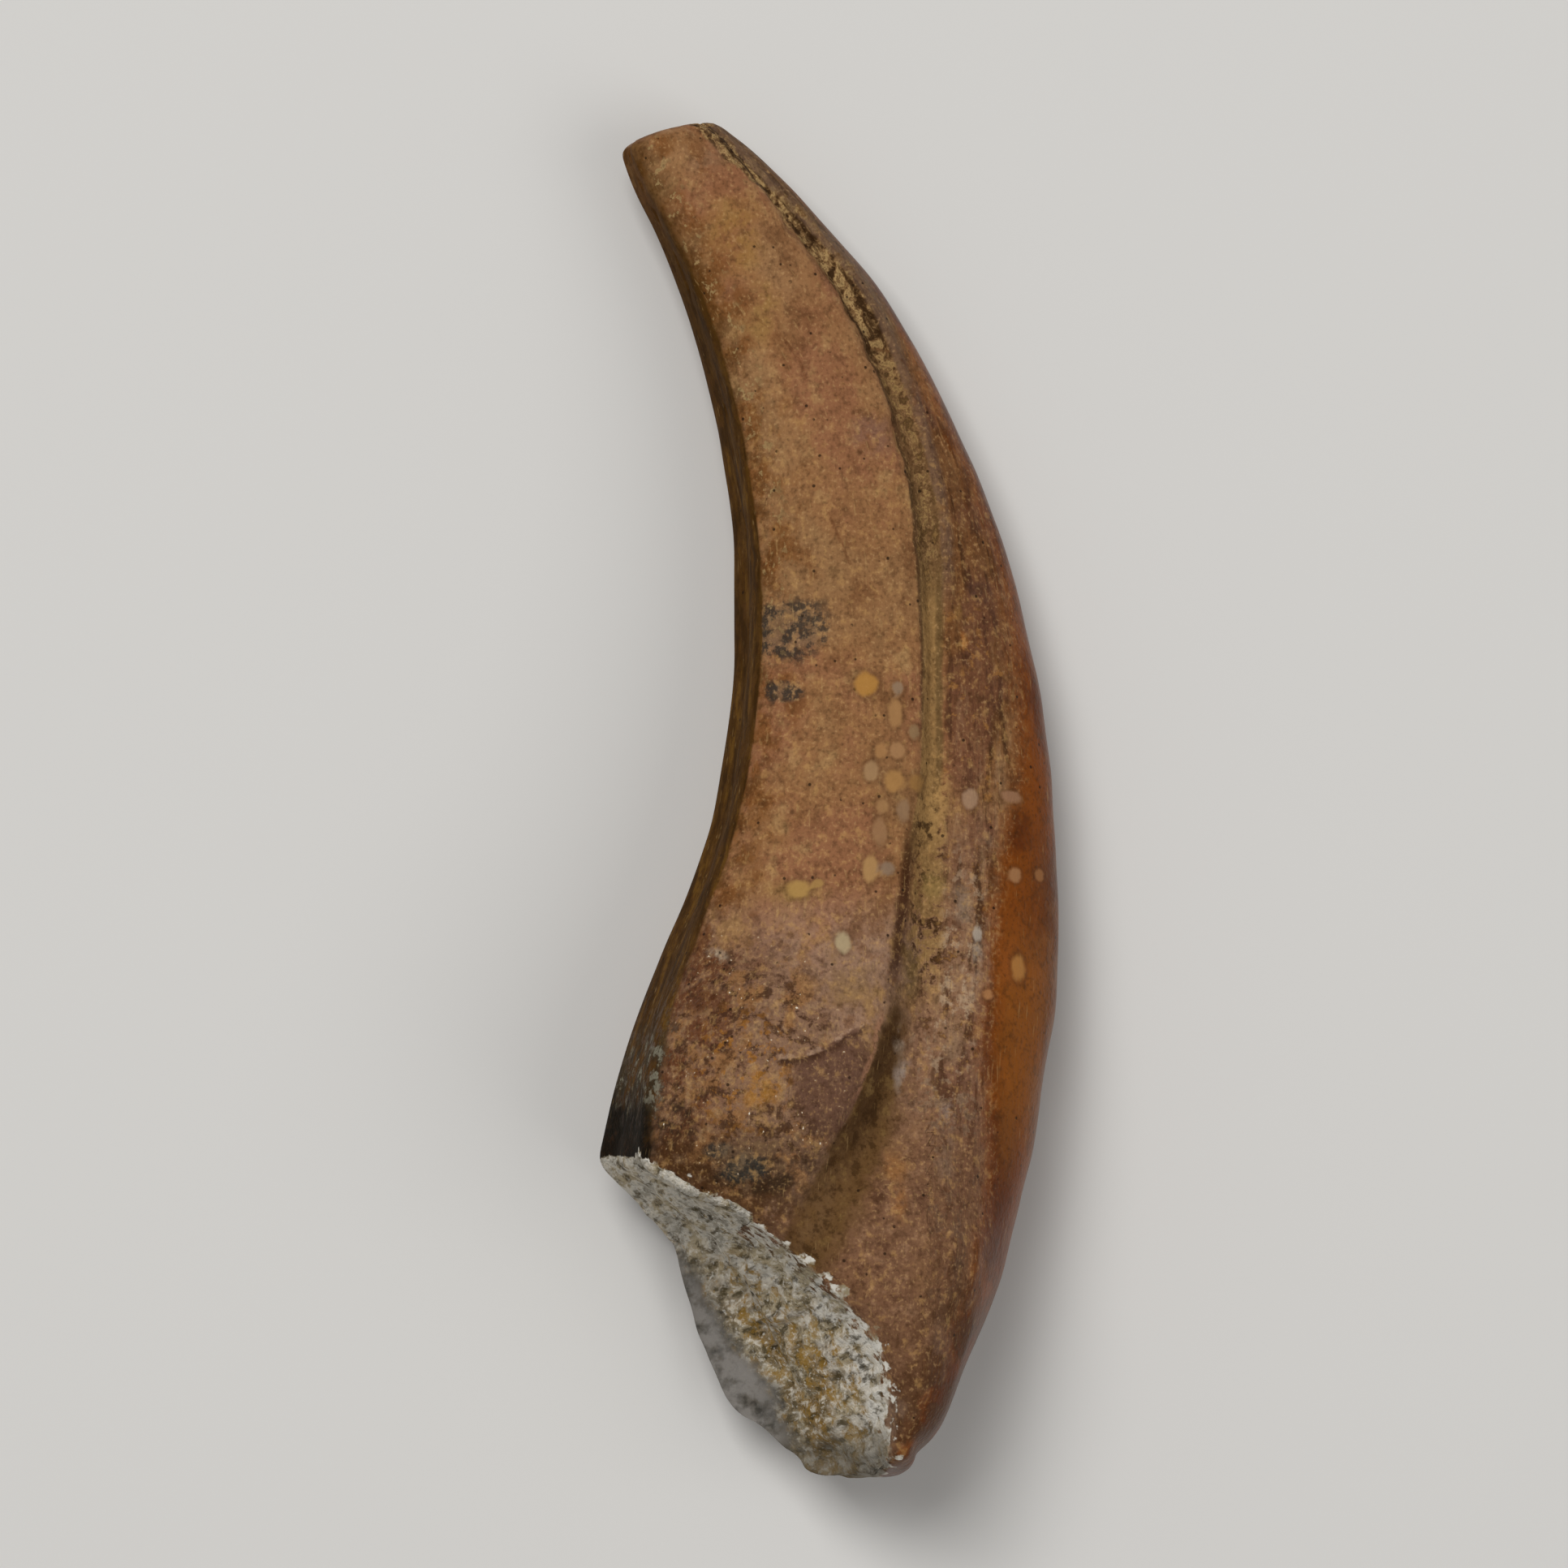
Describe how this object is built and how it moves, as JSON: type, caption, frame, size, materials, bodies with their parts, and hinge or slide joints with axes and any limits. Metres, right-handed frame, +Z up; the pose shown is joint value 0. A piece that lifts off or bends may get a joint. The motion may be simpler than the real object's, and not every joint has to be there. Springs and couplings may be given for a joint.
{
  "type": "fossil claw",
  "caption": "Fossil claw bone of a small predatory dinosaur: a curved, tapering shaft with a groove along each side, a blunt tip and a worn joint end, lying on its side.",
  "frame": {"origin": "on the surface it lies on, under the middle of the claw's bounding box", "axes": "+Y along the claw from the joint end to the tip, +Z up from the surface, -X towards the hollow underside"},
  "size_m": [0.0172, 0.0502, 0.0117],
  "materials": {
    "fossil_bone": "fine-grained bone replaced by minerals, satin on the shaft, rough and pale where the joint's spongy bone is open"
  },
  "bodies": {
    "root": {"claw": "fossil_bone"}
  },
  "joints": []
}
